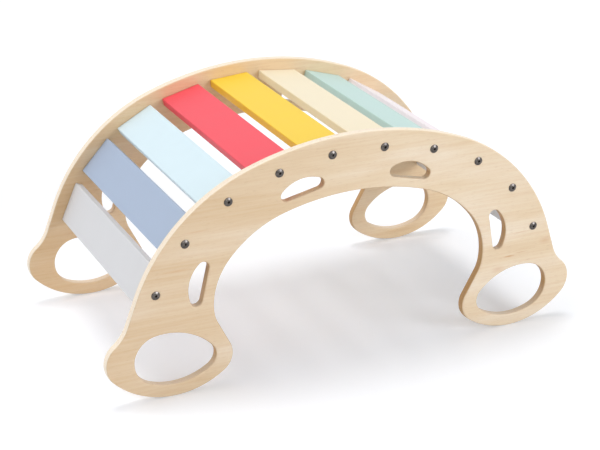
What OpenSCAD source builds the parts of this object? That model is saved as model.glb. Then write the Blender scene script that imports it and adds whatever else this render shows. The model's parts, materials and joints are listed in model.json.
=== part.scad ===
// Wooden rocker arch: two plywood side panels joined by ten painted slats.
// Millimetres. The origin is on the floor, in the middle of the arch.
// X runs along the arch, Y across it from panel to panel, Z up.

/* [Overall] */
// Length from the toe of one foot to the toe of the other
arch_length = 900; // [850:5:960]
// Height from the floor to the top of the side panels
arch_height = 421; // [405:1:440]
// Thickness of the plywood of the side panels
panel_t = 15; // [12:1:18]

/* [Arch, outer edge] */
// Angle from the middle at which the crown curve gives way to the shoulder curve
crown_deg = 20.7; // [17:0.1:25]
// Radius of the shoulder curve
shoulder_r = 328; // [290:2:350]
// Lean of the straight outer leg from upright
leg_lean = 19.7; // [16:0.1:23]
// How far the outer leg stands out from the middle of the foot's sole
leg_out = 80; // [70:1:90]

/* [Arch, inner edge] */
// Width of the panel at the crown
crown_w = 102; // [85:1:110]
// Width of the leg, level, at the height of the sole's centre
leg_w = 150.5; // [135:0.5:160]
// Angle from the middle at which the inner crown gives way to the haunch
inner_crown_deg = 16.7; // [14:0.1:20]
// Radius of the inner haunch curve
haunch_r = 205; // [185:1:225]
// Angle from upright at which the haunch gives way to the inner leg
haunch_deg = 50.5; // [45:0.5:56]
// Radius of the inner leg curve
inner_leg_r = 122.5; // [110:0.5:135]
// Angle from upright at which the inner leg gives way to the throat above the heel
throat_deg = 95; // [88:0.5:102]
// Radius of the throat
throat_r = 65; // [50:1:80]

/* [Feet] */
// Radius of the sole that the foot stands and rocks on
sole_r = 150; // [135:1:165]
// Radius of the toe, at the outer end of the foot
toe_r = 44; // [36:1:52]
// Angle from straight down at which the sole turns into the toe
toe_deg = 46.5; // [42:0.5:51]
// Radius of the heel, at the inner end of the foot
heel_r = 38.5; // [32:0.5:45]
// Angle from straight down at which the sole turns into the heel
heel_deg = 36.5; // [32:0.5:40]
// Radius of the hollow between the outer leg and the toe
ankle_r = 70; // [50:1:90]

/* [Foot holes] */
// Panel left between the foot hole and the heel
hole_heel_wall = 31; // [25:1:40]
// Panel left between the foot hole and the toe
hole_toe_wall = 50; // [42:1:60]
// Radius of the small end of the foot hole
hole_small_r = 26; // [20:1:32]
// Radius of the big end of the foot hole
hole_big_r = 45; // [38:1:50]
// Height of the centre of the small end
hole_small_z = 64; // [58:1:70]
// Height of the centre of the big end
hole_big_z = 73.5; // [68:0.5:80]
// Radius of the curves along the top and the bottom of the foot hole
hole_side_r = 112; // [95:1:150]

/* [Handle slots] */
// Length of a handle slot
slot_l = 79; // [65:1:90]
// Height of a handle slot at its middle
slot_h = 29; // [25:1:34]
// Radius of the two lower corners of a handle slot
slot_corner_r = 10; // [7:0.5:11]
// Panel left between a crown slot and the inner edge
crown_slot_wall = 17.5; // [14:0.5:24]
// Distance of the crown slots from the middle of the arch
crown_slot_x = 99; // [85:1:115]
// Tilt of the crown slots
crown_slot_tilt = 12.9; // [8:0.1:18]
// Panel left between a leg slot and the inner edge
leg_slot_wall = 22; // [17:0.5:28]
// Height of the middle of the leg slots
leg_slot_z = 196; // [188:1:210]
// Tilt of the leg slots
leg_slot_tilt = 78; // [72:0.5:84]

/* [Slats] */
// Length of a slat, which is the clear width between the panels
slat_l = 410; // [330:5:480]
// Width of a slat
slat_w = 75; // [60:1:85]
// Thickness of a slat
slat_t = 15; // [14:0.5:18]
// Radius of the long edges of a slat
slat_edge_r = 2; // [0.5:0.5:4]
// Spacing of the slats along the row of bolts
slat_pitch = 97.5; // [90:0.5:100]
// Depth of the row of bolts below the outer edge of the panel
bolt_inset = 29.5; // [24:0.5:36]

/* [Bolts] */
// Diameter of the bolt
bolt_d = 6; // [5:0.5:7]
// Length of the bolt under its head
bolt_l = 50; // [44:1:60]
// Diameter of the bolt's head
head_d = 15; // [12:0.5:17]
// Height of the bolt's head
head_h = 2.6; // [2:0.1:4]
// Radius of the rounded rim of the head
head_rim_r = 1.6; // [0.5:0.1:1.9]
// Width of the hex socket across its flats
socket_af = 4; // [3:0.5:5]
// Depth of the hex socket
socket_depth = 3; // [2:0.1:4]
// Clearance of the bolt in the wood, on the diameter
bolt_clear = 1; // [0.4:0.1:1.5]
// Free depth of the bolt's hole past the end of the bolt
bolt_tip_gap = 3; // [1:0.5:6]
// Chamfer at the end of the bolt
bolt_chamfer = 0.8; // [0.4:0.1:1.2]

/* [Barrel nuts] */
// Diameter of a barrel nut
nut_d = 10; // [9:0.5:12]
// Length of a barrel nut
nut_l = 10; // [9:0.5:11]
// How far the end of the bolt reaches past the barrel nut
bolt_past_nut = 3; // [1:0.5:6]
// Clearance of the barrel nut in its bore, on the diameter
nut_clear = 0.2; // [0.1:0.1:0.5]
// Clearance of the bolt in a barrel nut's thread, on the diameter
thread_clear = 0.1; // [0.05:0.05:0.2]
// Width and depth of the driver slot in a barrel nut
nut_slot = 1.2; // [0.8:0.1:1.6]

/* [Dowels] */
// Diameter of a dowel
dowel_d = 6; // [5:0.5:8]
// Length of a dowel
dowel_l = 25; // [20:1:30]
// Depth of the dowel in the panel
dowel_in_panel = 9; // [7:0.5:10]
// Distance of each dowel from the bolt, across the slat
dowel_out = 22; // [16:1:25]
// Length of the chamfer at each end of a dowel
dowel_chamfer = 1; // [0.5:0.1:1.5]
// Glue space past the end of a dowel in the slat
dowel_gap = 1; // [0.5:0.5:2]
// Clearance of a dowel in its holes, on the diameter
dowel_clear = 0.1; // [0.05:0.05:0.2]

/* [Hidden] */
slat_count = 10;
slat_numbers = [for (i = [1:slat_count]) i];
$fa = 2;
$fs = 0.8;
slat_colors = [
    "#dcdcde", "#b8c4da", "#e2f6fc", "#fb6f77", "#fedd62",
    "#fbefd0", "#bfe6d6", "#f4ece8", "#b8c4da", "#dcdcde"
];
plywood = "#e3cfb2";
steel = "#9a9a9c";
beech = "#d9b98c";
// Cuts run this far past a face
over = 1;
bolt_hole_d = bolt_d + bolt_clear;
bolt_in_slat = bolt_l - panel_t;
nut_y = slat_l / 2 - bolt_in_slat + bolt_past_nut + nut_d / 2;
dowel_in_slat = dowel_l - dowel_in_panel;
dowel_bore_d = dowel_d + dowel_clear;
inner_face_y = slat_l / 2;
outer_face_y = inner_face_y + panel_t;

// Point on a circle
function on(c, r, a) = [c.x + r * cos(a), c.y + r * sin(a)];
// Where an arc's centre stands when the arc continues from a circle without a kink
function next_centre(c, r, a, next_r) = on(c, r - next_r, a);
function direction(v) = atan2(v.y, v.x);
// Corners are kept to whole thousandths, so that all that meets in a corner shares it exactly
function snap(v) = [for (k = v) round(k * 1000) / 1000];
// Radii that are worked out are kept to whole hundredths
function snap_r(r) = round(r * 100) / 100;

// Foot: the sole touches the floor straight under its centre
toe_reach = (sole_r - toe_r) * sin(toe_deg) + toe_r;
sole_c = [arch_length / 2 - toe_reach, sole_r];
toe_c = next_centre(sole_c, sole_r, toe_deg - 90, toe_r);
heel_c = next_centre(sole_c, sole_r, -90 - heel_deg, heel_r);

// Outer edge: the crown's radius is the one whose shoulder curve meets the straight leg.
// The leg is a line through leg_p with the normal leg_n, and its distance from the
// shoulder's centre has to be the shoulder's radius.
leg_n = [cos(leg_lean), sin(leg_lean)];
leg_p = [sole_c.x + leg_out, sole_r];
crown_dir = [sin(crown_deg), cos(crown_deg)];
past_crown = leg_p - [0, arch_height - shoulder_r];
crown_extra = (past_crown * leg_n - shoulder_r) / (crown_dir * leg_n - leg_n.y);
crown_r = shoulder_r + crown_extra;
crown_c = [0, arch_height - crown_r];
shoulder_c = crown_c + crown_extra * crown_dir;

// Ankle: a hollow curve that touches the leg and the toe from outside
ankle_line_p = leg_p + ankle_r * leg_n;
leg_down = [leg_n.y, -leg_n.x];
toe_to_line = ankle_line_p - toe_c;
ankle_b = toe_to_line * leg_down;
ankle_span = pow(ankle_b, 2) - toe_to_line * toe_to_line + pow(ankle_r + toe_r, 2);
ankle_c = ankle_line_p + (-ankle_b - sqrt(max(ankle_span, 0))) * leg_down;

// Inner edge: the inner crown's radius is the one that brings the inner leg to its place
inner_x = leg_p.x - leg_w;
haunch_reach = inner_leg_r + (haunch_r - inner_leg_r) * sin(haunch_deg);
inner_crown_extra = (inner_x - haunch_reach) / sin(inner_crown_deg);
inner_crown_r = haunch_r + inner_crown_extra;
inner_crown_c = [0, arch_height - crown_w - inner_crown_r];
haunch_c = next_centre(inner_crown_c, inner_crown_r, 90 - inner_crown_deg, haunch_r);
inner_leg_c = next_centre(haunch_c, haunch_r, 90 - haunch_deg, inner_leg_r);
throat_c = next_centre(inner_leg_c, inner_leg_r, 90 - throat_deg, throat_r);
// The short straight between the throat and the heel crosses from one curve to the other
to_throat = throat_c - heel_c;
heel_a = direction(to_throat) + acos(min((throat_r + heel_r) / norm(to_throat), 1));

// Outlines run anticlockwise, as pairs of a corner and the radius of the arc from there to the
// next corner. A radius is positive where the arc bulges out, negative where it bulges in,
// and 0 for a straight.
right_half = [
    [on(inner_crown_c, inner_crown_r, 90 - inner_crown_deg), -haunch_r],
    [on(haunch_c, haunch_r, 90 - haunch_deg), -inner_leg_r],
    [on(inner_leg_c, inner_leg_r, 90 - throat_deg), -throat_r],
    [on(throat_c, throat_r, 180 + heel_a), 0],
    [on(heel_c, heel_r, heel_a), heel_r],
    [on(sole_c, sole_r, -90 - heel_deg), sole_r],
    [on(sole_c, sole_r, toe_deg - 90), toe_r],
    [on(toe_c, toe_r, direction(ankle_c - toe_c)), -ankle_r],
    [on(ankle_c, ankle_r, 180 + leg_lean), 0],
    [on(shoulder_c, shoulder_r, leg_lean), shoulder_r],
    [on(crown_c, crown_r, 90 - crown_deg), snap_r(crown_r)]
];
left_half = [for (k = [len(right_half) - 1:-1:0])
    let (corner = right_half[k][0])
    [[-corner.x, corner.y], k > 0 ? right_half[k - 1][1] : -snap_r(inner_crown_r)]
];
panel_outline = concat(right_half, left_half);

// The part of a circle between the arc from p to q and its chord, on the outline's
// right for a positive radius and on its left for a negative one
module cap(p, q, r) {
    along = (q - p) / norm(q - p);
    out = sign(r) * [along.y, -along.x];
    c = (p + q) / 2 - out * sqrt(r * r - pow(norm(q - p) / 2, 2));
    intersection() {
        // In two moves, so that the circle runs through both corners exactly
        translate(snap(c)) translate(c - snap(c)) circle(abs(r));
        polygon([p, q, q + out * abs(r), p + out * abs(r)]);
    }
}

// Board from z = 0 upwards
module board(outline, thickness) {
    corners = [for (o = outline) snap(o[0])];
    segments = [for (k = [0:len(outline) - 1]) [corners[k], corners[(k + 1) % len(outline)], outline[k][1]]];
    difference() {
        union() {
            linear_extrude(thickness) polygon(corners);
            for (s = segments) if (s[2] > 0) linear_extrude(thickness) cap(s[0], s[1], s[2]);
        }
        for (s = segments) if (s[2] < 0)
            translate([0, 0, -over]) linear_extrude(thickness + 2 * over) cap(s[0], s[1], s[2]);
    }
}

// Cuts an outline through the panel
module through_cut(outline) {
    translate([0, 0, -over]) board(outline, panel_t + 2 * over);
}

// Foot hole: its two ends keep their walls to the heel and the toe
hole_small_c = [heel_c.x - heel_r + hole_heel_wall + hole_small_r, hole_small_z];
hole_big_c = [toe_c.x + toe_r - hole_toe_wall - hole_big_r, hole_big_z];

// Centre of an arc that touches two circles from outside both and bulges to one side
function bridge_centre(a, ra, b, rb, r, side) =
    let (d = norm(b - a), u = (b - a) / d, p = r - ra, q = r - rb)
    let (along = (d * d + p * p - q * q) / (2 * d), back = sqrt(p * p - along * along))
    a + along * u - side * back * [-u.y, u.x];

// Egg shape: a small and a big end, joined by a curve along the top and one along the bottom
module foot_hole() {
    top_c = bridge_centre(hole_small_c, hole_small_r, hole_big_c, hole_big_r, hole_side_r, 1);
    low_c = bridge_centre(hole_small_c, hole_small_r, hole_big_c, hole_big_r, hole_side_r, -1);
    axis_a = direction(hole_big_c - hole_small_c);
    through_cut([
        [on(low_c, hole_side_r, direction(hole_small_c - low_c)), hole_side_r],
        [on(low_c, hole_side_r, direction(hole_big_c - low_c)), hole_big_r],
        [on(hole_big_c, hole_big_r, axis_a), hole_big_r],
        [on(top_c, hole_side_r, direction(hole_big_c - top_c)), hole_side_r],
        [on(top_c, hole_side_r, direction(hole_small_c - top_c)), hole_small_r],
        [on(hole_small_c, hole_small_r, 180 + axis_a), hole_small_r]
    ]);
}

// D shape: flat side on X, two round corners and a crest that runs into both
module handle_slot() {
    corner_x = slot_l / 2 - slot_corner_r;
    rise = slot_h - slot_corner_r;
    crest_r = (pow(corner_x, 2) + pow(rise, 2) - pow(slot_corner_r, 2)) / (2 * (rise - slot_corner_r));
    crest_c = [0, slot_h - crest_r];
    crest_a = direction([corner_x, slot_corner_r] - crest_c);
    through_cut([
        [[-corner_x, 0], 0],
        [[corner_x, 0], slot_corner_r],
        [on(crest_c, crest_r, crest_a), snap_r(crest_r)],
        [on(crest_c, crest_r, 180 - crest_a), slot_corner_r]
    ]);
}

// Height of the inner edge over a point of the crown, and how far out it is at a point of the leg
function inner_crown_z(x) = inner_crown_c.y + sqrt(pow(inner_crown_r, 2) - x * x);
function inner_leg_x(z) = inner_leg_c.x + sqrt(pow(inner_leg_r, 2) - pow(z - inner_leg_c.y, 2));

module half_holes() {
    foot_hole();
    translate([crown_slot_x, inner_crown_z(crown_slot_x) + crown_slot_wall / cos(crown_slot_tilt)])
        rotate(-crown_slot_tilt) handle_slot();
    translate([inner_leg_x(leg_slot_z) + leg_slot_wall / sin(leg_slot_tilt), leg_slot_z])
        rotate(-leg_slot_tilt) handle_slot();
}

// The bolts stand on curves that run inside the outer edge. A place on them is [x, z, tilt],
// reached by going a distance along the curves from the middle of the arch.
row_crown_r = crown_r - bolt_inset;
row_shoulder_r = shoulder_r - bolt_inset;
row_crown_l = row_crown_r * crown_deg * PI / 180;
row_shoulder_l = row_shoulder_r * (90 - crown_deg - leg_lean) * PI / 180;
function row_on(c, r, tilt) = [c.x + r * sin(tilt), c.y + r * cos(tilt), tilt];
function row_place(s) =
    let (on_shoulder = s - row_crown_l, on_leg = on_shoulder - row_shoulder_l)
    on_shoulder < 0 ? row_on(crown_c, row_crown_r, s / row_crown_r * 180 / PI)
    : on_leg < 0 ? row_on(shoulder_c, row_shoulder_r, crown_deg + on_shoulder / row_shoulder_r * 180 / PI)
    : row_on(shoulder_c, row_shoulder_r, 90 - leg_lean) + on_leg * [leg_down.x, leg_down.y, 0];

// Puts a slat's pieces in place: their own X runs across the slat, Y along it, Z out of the arch
module at_slat(i) {
    along = (i - (slat_count + 1) / 2) * slat_pitch;
    place = row_place(abs(along));
    side = sign(along);
    translate([side * place.x, 0, place.y]) rotate([0, side * place.z, 0]) children();
}

// Front and rear copies of a piece that is drawn for the rear end of a slat
module both_ends() {
    children();
    mirror([0, 1, 0]) children();
}

module bolt_hole(from_y, to_y) {
    translate([0, from_y, 0]) rotate([-90, 0, 0]) cylinder(d = bolt_hole_d, h = to_y - from_y);
}

module dowel_holes(from_y, to_y) {
    for (x = [-dowel_out, dowel_out])
        translate([x, from_y, 0]) rotate([-90, 0, 0]) cylinder(d = dowel_bore_d, h = to_y - from_y);
}

// Panel at the rear, with its inner face on the slats
module side_panel() {
    color(plywood) difference() {
        translate([0, outer_face_y, 0]) rotate([90, 0, 0]) difference() {
            board(panel_outline, panel_t);
            half_holes();
            mirror([1, 0, 0]) half_holes();
        }
        for (i = slat_numbers) at_slat(i) {
            bolt_hole(inner_face_y - over, outer_face_y + over);
            dowel_holes(inner_face_y - over, inner_face_y + dowel_in_panel);
        }
    }
}

module side_panel_rear() {
    side_panel();
}

module side_panel_front() {
    mirror([0, 1, 0]) side_panel();
}

module slat_section() {
    flat_w = slat_w / 2 - slat_edge_r;
    flat_t = slat_t / 2 - slat_edge_r;
    square([slat_w, 2 * flat_t], center = true);
    square([2 * flat_w, slat_t], center = true);
    for (x = [-flat_w, flat_w], z = [-flat_t, flat_t]) translate([x, z]) circle(slat_edge_r);
}

module slat(i) {
    color(slat_colors[i - 1]) at_slat(i) difference() {
        rotate([90, 0, 0]) linear_extrude(slat_l, center = true) slat_section();
        both_ends() {
            bolt_hole(inner_face_y - bolt_in_slat - bolt_tip_gap, inner_face_y + over);
            dowel_holes(inner_face_y - dowel_in_slat - dowel_gap, inner_face_y + over);
            translate([0, nut_y, -slat_t / 2 - over])
                cylinder(d = nut_d + nut_clear, h = slat_t / 2 + nut_l / 2 + over);
        }
    }
}

module bolt_profile() {
    translate([0, -bolt_l]) polygon([
        [0, 0], [bolt_d / 2 - bolt_chamfer, 0], [bolt_d / 2, bolt_chamfer], [bolt_d / 2, bolt_l], [0, bolt_l]
    ]);
    square([head_d / 2, head_h - head_rim_r]);
    square([head_d / 2 - head_rim_r, head_h]);
    translate([head_d / 2 - head_rim_r, head_h - head_rim_r]) circle(head_rim_r);
}

// The underside of each head lies on the panel's outer face
module bolts(i) {
    color(steel) at_slat(i) both_ends() translate([0, outer_face_y, 0]) rotate([-90, 0, 0]) difference() {
        rotate_extrude() bolt_profile();
        translate([0, 0, head_h - socket_depth])
            cylinder(d = socket_af / cos(30), h = socket_depth + over, $fn = 6);
    }
}

// The nut lies at the inner end of its bore, centred on the bolt
module barrel_nuts(i) {
    color(steel) at_slat(i) both_ends() translate([0, nut_y, 0]) difference() {
        cylinder(d = nut_d, h = nut_l, center = true);
        rotate([90, 0, 0]) cylinder(d = bolt_d + thread_clear, h = nut_d + 2 * over, center = true);
        translate([0, 0, -nut_l / 2]) cube([nut_slot, nut_d + 2 * over, 2 * nut_slot], center = true);
    }
}

module dowel_profile() {
    flat_r = dowel_d / 2 - dowel_chamfer;
    polygon([
        [0, 0], [flat_r, 0], [dowel_d / 2, dowel_chamfer],
        [dowel_d / 2, dowel_l - dowel_chamfer], [flat_r, dowel_l], [0, dowel_l]
    ]);
}

module dowels(i) {
    color(beech) at_slat(i) both_ends() for (x = [-dowel_out, dowel_out])
        translate([x, inner_face_y - dowel_in_slat, 0]) rotate([-90, 0, 0]) rotate_extrude() dowel_profile();
}

side_panel_front();
side_panel_rear();
for (i = slat_numbers) {
    slat(i);
    bolts(i);
    barrel_nuts(i);
    dowels(i);
}
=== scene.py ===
# Wooden rocker arch: two birch plywood side panels, ten painted slats, and the bolts,
# barrel nuts and dowels that join them. Metres. The floor is z = 0, X runs along the
# arch, Y across it from panel to panel, Z up.
import json
import math

import bpy
import numpy as np
from mathutils import Matrix, Vector
from mathutils.geometry import delaunay_2d_cdt

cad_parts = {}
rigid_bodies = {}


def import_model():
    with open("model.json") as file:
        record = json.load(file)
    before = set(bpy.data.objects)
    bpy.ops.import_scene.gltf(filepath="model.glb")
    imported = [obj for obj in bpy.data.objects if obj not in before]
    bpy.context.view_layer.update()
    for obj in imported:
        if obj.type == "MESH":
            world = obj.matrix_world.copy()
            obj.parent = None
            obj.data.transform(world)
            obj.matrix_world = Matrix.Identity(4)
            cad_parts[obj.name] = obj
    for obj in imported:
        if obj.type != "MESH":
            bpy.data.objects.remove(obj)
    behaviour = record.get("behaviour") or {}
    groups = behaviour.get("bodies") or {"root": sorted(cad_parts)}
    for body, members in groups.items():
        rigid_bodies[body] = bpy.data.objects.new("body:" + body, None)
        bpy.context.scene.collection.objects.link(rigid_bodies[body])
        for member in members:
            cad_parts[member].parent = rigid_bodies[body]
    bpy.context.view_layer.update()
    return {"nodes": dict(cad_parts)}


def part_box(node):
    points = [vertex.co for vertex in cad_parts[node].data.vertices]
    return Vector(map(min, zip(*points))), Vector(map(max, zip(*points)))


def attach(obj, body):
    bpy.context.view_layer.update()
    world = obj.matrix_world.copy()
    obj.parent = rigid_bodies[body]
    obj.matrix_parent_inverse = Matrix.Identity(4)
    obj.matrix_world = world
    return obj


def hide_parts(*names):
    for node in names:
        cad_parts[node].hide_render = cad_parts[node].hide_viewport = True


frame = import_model()
print("frame loaded:", len(frame["nodes"]), "nodes")

# Camera, as the photograph was taken: 600 x 450, seen from the front left and above
camera = {
    "place": (-1.1514, -2.3146, 1.2932),
    "forward": (0.38562058, 0.82136289, -0.42030914),
    "right": (0.90784452, -0.41907419, 0.01396959),
    "lens": 92.52, "sensor": 36, "shift": 0.0583,
}


def makeCamera():
    data = bpy.data.cameras.new("camera")
    data.lens, data.sensor_width = camera["lens"], camera["sensor"]
    data.shift_x = data.shift_y = camera["shift"]
    right, back = Vector(camera["right"]), -Vector(camera["forward"])
    turn = Matrix((right, back.cross(right), back)).transposed()
    cam = bpy.data.objects.new("camera", data)
    cam.matrix_world = Matrix.Translation(camera["place"]) @ turn.to_4x4()
    bpy.context.scene.collection.objects.link(cam)
    bpy.context.scene.camera = cam


# Light: a white room, a softbox overhead, lamps at the left, at the front and low at the front
# right, which is a little cool, and matt screens behind, which don't show in reflections. Where a
# lamp is from is its azimuth from +X and its elevation, and its angle is how wide it looks, all in
# degrees. The floor is lifted by a little light of its own.
light = {
    "room": 0.27,
    "lamps": {
        "overhead": {"from": (105, 80), "strength": 0.92, "angle": 24},
        "highLeft": {"from": (175, 60), "strength": 0.5, "angle": 50},
        "lowLeft": {"from": (180, 27), "strength": 0.3, "angle": 50},
        "front": {"from": (-92, 22), "strength": 0.3, "angle": 40},
        "frontRight": {"from": (-56, 17), "strength": 1.35, "angle": 32, "colour": "#f0f6ff"},
        "rearScreen": {"from": (95, 26), "strength": 0.25, "angle": 50, "shows": False},
        "rearLeftScreen": {"from": (140, 40), "strength": 0.38, "angle": 50, "shows": False},
        "rearRightScreen": {"from": (40, 45), "strength": 0.15, "angle": 50, "shows": False},
    },
    "floorColour": "#f1f3f7", "floorLift": 0.175, "floorSize": 40.0,
}


# sRGB hex to linear colour
def linear(code):
    srgb = np.array([int(code[k:k + 2], 16) for k in (1, 3, 5)]) / 255
    return (*np.where(srgb < 0.04045, srgb / 12.92, ((srgb + 0.055) / 1.055) ** 2.4), 1)


def makeLamp(name, lamp):
    azimuth, elevation = (math.radians(v) for v in lamp["from"])
    data = bpy.data.lights.new(name, "SUN")
    data.energy, data.angle = lamp["strength"], math.radians(lamp["angle"])
    data.color = linear(lamp.get("colour", "#ffffff"))[:3]
    outward = Vector((math.cos(azimuth) * math.cos(elevation), math.sin(azimuth) * math.cos(elevation),
                      math.sin(elevation)))
    sun = bpy.data.objects.new(name, data)
    sun.rotation_euler = outward.to_track_quat("Z", "Y").to_euler()
    sun.visible_glossy = lamp.get("shows", True)
    bpy.context.scene.collection.objects.link(sun)


# Adds a node. A setting is one of its attributes, the value of an input, or a ramp's stops. A link
# feeds an input from a socket, or from the first output that another node has in use.
def addNode(tree, kind, settings=None, links=None):
    node = tree.nodes.new("ShaderNode" + kind)
    for key, value in (settings or {}).items():
        if key == "stops":
            while len(node.color_ramp.elements) < len(value):
                node.color_ramp.elements.new(0.5)
            for element, (position, colour) in zip(node.color_ramp.elements, value):
                element.position, element.color = position, linear(colour)
        elif isinstance(key, str) and hasattr(node, key):
            setattr(node, key, value)
        else:
            node.inputs[key].default_value = value
    for key, source in (links or {}).items():
        if isinstance(source, bpy.types.Node):
            source = next(output for output in source.outputs if output.enabled)
        tree.links.new(source, node.inputs[key])
    return node


def newMaterial(name):
    material = bpy.data.materials.new(name)
    material.use_nodes = True
    material.node_tree.nodes.clear()
    return material, material.node_tree


# 1 for what the camera sees, directly, in a reflection or through something clear
def seenDirectly(tree):
    path = addNode(tree, "LightPath")
    seen = path.outputs["Is Camera Ray"]
    for ray in ("Is Glossy Ray", "Is Transmission Ray"):
        seen = addNode(tree, "Math", {"operation": "MAXIMUM"}, {0: seen, 1: path.outputs[ray]})
    return seen


def makeRoom():
    world = bpy.data.worlds.new("whiteRoom")
    world.use_nodes = True
    bpy.context.scene.world = world
    tree = world.node_tree
    tree.nodes.clear()
    level = addNode(tree, "MapRange", {"To Min": light["room"], "To Max": 1.0}, {"Value": seenDirectly(tree)})
    lit = addNode(tree, "Background", {"Color": (1, 1, 1, 1)}, {"Strength": level})
    addNode(tree, "OutputWorld", None, {"Surface": lit})

    # Floor: white paper, lifted a little where it is looked at, and clear from below
    material, tree = newMaterial("whitePaperFloor")
    lift = addNode(tree, "Math", {"operation": "MULTIPLY", 1: light["floorLift"]}, {0: seenDirectly(tree)})
    paper = addNode(tree, "BsdfDiffuse", {"Color": linear(light["floorColour"])})
    glow = addNode(tree, "Emission", {"Color": (1, 1, 1, 1)}, {"Strength": lift})
    both = addNode(tree, "AddShader", None, {0: paper, 1: glow})
    clear = addNode(tree, "BsdfTransparent")
    below = addNode(tree, "NewGeometry").outputs["Backfacing"]
    paperFloor = addNode(tree, "MixShader", None, {0: below, 1: both, 2: clear})
    addNode(tree, "OutputMaterial", None, {"Surface": paperFloor})
    half = light["floorSize"] / 2
    mesh = bpy.data.meshes.new("floor")
    corners = [(-half, -half, 0), (half, -half, 0), (half, half, 0), (-half, half, 0)]
    mesh.from_pydata(corners, [], [(0, 1, 2, 3)])
    mesh.materials.append(material)
    floor = bpy.data.objects.new("floor", mesh)
    bpy.context.scene.collection.objects.link(floor)


# Surfaces. Each is a dictionary of points, their normals and triangles. Outlines lie in X and Z,
# depths run along Y. An arc is cut so that no piece of it is longer than the step or turns further
# than the turn. Points nearer than the weld are one point.
fineness = {"step": 0.003, "turn": math.radians(4), "weld": 1e-7, "sameSpot": 1e-9}


# Points and normals from p to q. On a straight the normal is the direction of travel turned right; on an
# arc it turns about the arc's centre. The radius is positive where the arc bulges to the right, negative
# where it bulges to the left and 0 on a straight. An arc's segments follow its size where none are given.
def stretch(p, q, radius=0.0, segments=None):
    p, q = np.array(p, float), np.array(q, float)
    chord = q - p
    length = np.linalg.norm(chord)
    right = np.array([chord[1], -chord[0]]) / length
    if radius == 0:
        return np.stack([p, q]), np.stack([right, right])
    half = math.asin(min(length / 2 / abs(radius), 1))
    count = segments or math.ceil(2 * half * max(1 / fineness["turn"], abs(radius) / fineness["step"]))
    centre = (p + q) / 2 - right * math.copysign(math.sqrt(max(radius ** 2 - length ** 2 / 4, 0)), radius)
    a = np.linspace(-half, half, count + 1) * math.copysign(1, radius)
    cos, sin = np.cos(a), np.sin(a)
    normals = np.stack([right[0] * cos - right[1] * sin, right[0] * sin + right[1] * cos], 1)
    return centre + radius * normals, normals


# The stretches of a closed outline, given as pairs of a corner and the radius of what follows it
def closedPath(outline, segments=None):
    corners = [corner for corner, _ in outline]
    following = corners[1:] + corners[:1]
    return [stretch(p, q, radius, segments) for p, q, (_, radius) in zip(corners, following, outline)]


# The same outline round a hole: the other way round, with the normals into the hole
def asHole(path):
    return [(points[::-1], -normals[::-1]) for points, normals in path[::-1]]


# A circle, as two half circles
def circlePath(centre, radius):
    centre = np.array(centre, float)
    ends = [centre - (radius, 0), centre + (radius, 0)]
    return closedPath([(ends[0], radius), (ends[1], radius)])


# The loop of points that runs along a path, a distance out from it
def edgeLoop(path, out=0.0):
    return np.concatenate([(points + out * normals)[:-1] for points, normals in path])


# Two triangles for each cell of a grid of points, which is numbered row by row
def gridTriangles(rows, columns):
    i = np.arange(rows * columns).reshape(rows, columns)
    a, b, c, d = i[:-1, :-1], i[1:, :-1], i[1:, 1:], i[:-1, 1:]
    return np.concatenate([np.stack([a, b, c], -1).reshape(-1, 3), np.stack([a, c, d], -1).reshape(-1, 3)])


# A grid as a surface. Its points are given by X and Z and by depth, and its normals likewise.
def gridSurface(flat, depths, lean, sink):
    return {
        "points": np.stack([flat[..., 0], depths, flat[..., 1]], -1).reshape(-1, 3),
        "normals": np.stack([lean[..., 0], sink, lean[..., 1]], -1).reshape(-1, 3),
        "triangles": gridTriangles(*depths.shape),
    }


# A profile carried along a path: each point goes out from the path, along its normal, by the
# profile's first coordinate, and lies as deep as its second
def carry(path, profile):
    surfaces = []
    for points, normals in path:
        for shape, slope in profile:
            flat = points[:, None] + shape[None, :, :1] * normals[:, None]
            lean = slope[None, :, :1] * normals[:, None]
            depths, sink = (np.broadcast_to(v[:, 1], flat.shape[:2]) for v in (shape, slope))
            surfaces.append(gridSurface(flat, depths, lean, sink))
    return surfaces


# Triangles that fill the space between an outer loop and the loops of its holes. One is kept where a
# ray from its middle crosses the loops an odd number of times.
def fillTriangles(loops):
    points = np.concatenate(loops)
    following = np.concatenate([np.roll(np.arange(len(loop)), -1) + start for loop, start in
                                zip(loops, np.cumsum([0] + [len(loop) for loop in loops[:-1]]))])
    edges = np.stack([np.arange(len(points)), following], 1)
    insideEdges = 1  # the kind of result that holds the triangles within the outer loop
    made = delaunay_2d_cdt([Vector(p) for p in points], edges.tolist(), [], insideEdges, fineness["sameSpot"])
    triangles = np.array([ids[0] for ids in made[3]])[np.array(made[2])]
    middle = points[triangles].mean(1)
    a, b = points[None], points[following][None]
    straddles = (a[..., 1] > middle[:, 1:]) != (b[..., 1] > middle[:, 1:])
    rise = np.where(straddles, b[..., 1] - a[..., 1], 1)
    crossing = a[..., 0] + (middle[:, 1:] - a[..., 1]) * (b[..., 0] - a[..., 0]) / rise
    inside = (straddles & (middle[:, :1] < crossing)).sum(1) % 2 == 1
    return triangles[inside]


# A flat face between loops, at one depth, that faces along Y one way or the other
def flatFace(loops, depth, facing):
    flat = np.concatenate(loops)
    level = np.full(len(flat), depth)
    return {
        "points": np.stack([flat[:, 0], level, flat[:, 1]], 1),
        "normals": np.tile([0.0, facing, 0.0], (len(flat), 1)),
        "triangles": fillTriangles(loops),
    }


# Surfaces turned by a 3 x 3 matrix and then moved
def placed(surfaces, turn, move=(0, 0, 0)):
    turn = np.array(turn, float)
    return [{**s, "points": s["points"] @ turn.T + np.array(move), "normals": s["normals"] @ turn.T}
            for s in surfaces]


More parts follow.
